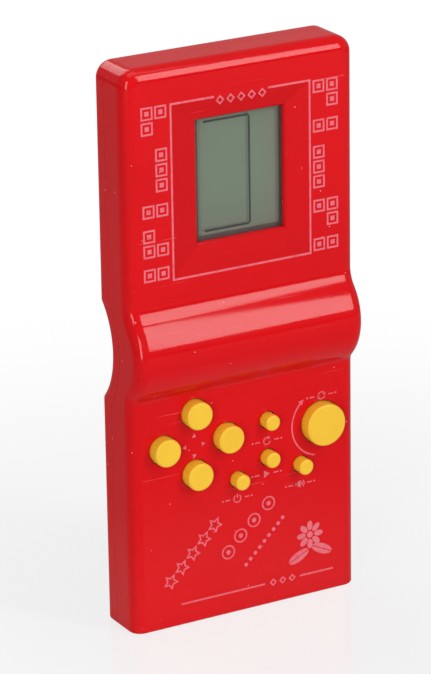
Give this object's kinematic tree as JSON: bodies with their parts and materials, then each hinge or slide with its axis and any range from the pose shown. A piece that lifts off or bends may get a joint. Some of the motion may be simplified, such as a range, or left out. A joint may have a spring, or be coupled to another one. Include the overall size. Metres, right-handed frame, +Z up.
{
  "type": "handheld brick game",
  "caption": "Handheld brick game: a red casing with a rounded bulge, a display window, yellow push buttons, a rear battery cover, and a board, keypad and cells inside.",
  "frame": {"origin": "below the middle of the bounding box, on the surface that the bottom end stands on", "axes": "+Z up towards the end with the display, +Y from the front panel to the back, +X to the right as seen from the front"},
  "size_m": [0.079, 0.0244, 0.178],
  "materials": {
    "casing_red": "glossy moulded plastic",
    "button_yellow": "satin moulded plastic",
    "clear_plate": "clear glossy plastic",
    "display_glass": "clear",
    "display_film": "satin film",
    "reflector_film": "satin metallised film",
    "black_foam": "matt foam",
    "holder_black": "matt moulded plastic",
    "striped_rubber": "soft striped rubber",
    "silicone": "soft satin silicone",
    "carbon": "matt carbon",
    "board": "satin phenolic sheet",
    "black_epoxy": "glossy epoxy",
    "capacitor_sleeve": "glossy sleeve",
    "resistor_body": "lacquered",
    "screw_steel": "zinc-plated",
    "spring_steel": "nickel-plated",
    "cell_jacket": "satin printed jacket",
    "brass_disc": "satin brass",
    "ceramic": "silvered ceramic",
    "lead_red": "satin sleeve",
    "lead_black": "satin sleeve",
    "panel_print": "pale satin ink",
    "display_print": "dark satin ink"
  },
  "bodies": {
    "case": {"front_shell": "casing_red", "back_shell": "casing_red", "window_plate": "clear_plate", "screen_gasket": "black_foam", "lcd_front_polariser": "display_film", "lcd_front_glass": "display_glass", "lcd_rear_glass": "display_glass", "lcd_rear_reflector": "reflector_film", "elastomer_strip": "striped_rubber", "lcd_holder": "holder_black", "main_board": "board", "chip_blob": "black_epoxy", "capacitor": "capacitor_sleeve", "transistor": "black_epoxy", "resistors": "resistor_body", "rubber_keypad": "silicone", "contact_pills": "carbon", "carbon_pads": "carbon", "case_screws": "screw_steel", "board_screws": "screw_steel", "battery_lower": "cell_jacket", "battery_upper": "cell_jacket", "positive_contact": "spring_steel", "negative_contact": "spring_steel", "bridge_contact": "spring_steel", "negative_spring": "spring_steel", "bridge_spring": "spring_steel", "buzzer_disc": "brass_disc", "buzzer_ceramic": "ceramic", "battery_lead_positive": "lead_red", "battery_lead_negative": "lead_black", "buzzer_lead_disc": "lead_black", "buzzer_lead_ceramic": "lead_red"},
    "button_up": {"button_up": "button_yellow"},
    "button_down": {"button_down": "button_yellow"},
    "button_left": {"button_left": "button_yellow"},
    "button_right": {"button_right": "button_yellow"},
    "button_rotate": {"button_rotate": "button_yellow"},
    "button_reset": {"button_reset": "button_yellow"},
    "button_start": {"button_start": "button_yellow"},
    "button_sound": {"button_sound": "button_yellow"},
    "button_power": {"button_power": "button_yellow"},
    "battery_cover": {"battery_cover": "casing_red"}
  },
  "joints": [
    {"name": "button_up_press", "type": "slide", "parent": "case", "child": "button_up", "axis": [0, 1, 0], "range_m": [0, 0.0012], "stiffness_N_per_m": 250, "deforming": ["rubber_keypad"]},
    {"name": "button_down_press", "type": "slide", "parent": "case", "child": "button_down", "axis": [0, 1, 0], "range_m": [0, 0.0012], "stiffness_N_per_m": 250, "deforming": ["rubber_keypad"]},
    {"name": "button_left_press", "type": "slide", "parent": "case", "child": "button_left", "axis": [0, 1, 0], "range_m": [0, 0.0012], "stiffness_N_per_m": 250, "deforming": ["rubber_keypad"]},
    {"name": "button_right_press", "type": "slide", "parent": "case", "child": "button_right", "axis": [0, 1, 0], "range_m": [0, 0.0012], "stiffness_N_per_m": 250, "deforming": ["rubber_keypad"]},
    {"name": "button_rotate_press", "type": "slide", "parent": "case", "child": "button_rotate", "axis": [0, 1, 0], "range_m": [0, 0.0012], "stiffness_N_per_m": 300, "deforming": ["rubber_keypad"]},
    {"name": "button_reset_press", "type": "slide", "parent": "case", "child": "button_reset", "axis": [0, 1, 0], "range_m": [0, 0.0012], "stiffness_N_per_m": 250, "deforming": ["rubber_keypad"]},
    {"name": "button_start_press", "type": "slide", "parent": "case", "child": "button_start", "axis": [0, 1, 0], "range_m": [0, 0.0012], "stiffness_N_per_m": 250, "deforming": ["rubber_keypad"]},
    {"name": "button_sound_press", "type": "slide", "parent": "case", "child": "button_sound", "axis": [0, 1, 0], "range_m": [0, 0.0012], "stiffness_N_per_m": 250, "deforming": ["rubber_keypad"]},
    {"name": "button_power_press", "type": "slide", "parent": "case", "child": "button_power", "axis": [0, 1, 0], "range_m": [0, 0.0012], "stiffness_N_per_m": 250, "deforming": ["rubber_keypad"]},
    {"name": "battery_cover_swing", "type": "hinge", "parent": "case", "child": "battery_cover", "pos_m": [0, 0.01225, 0.0052], "axis": [-1, 0, 0], "range_deg": [0, 75]}
  ]
}
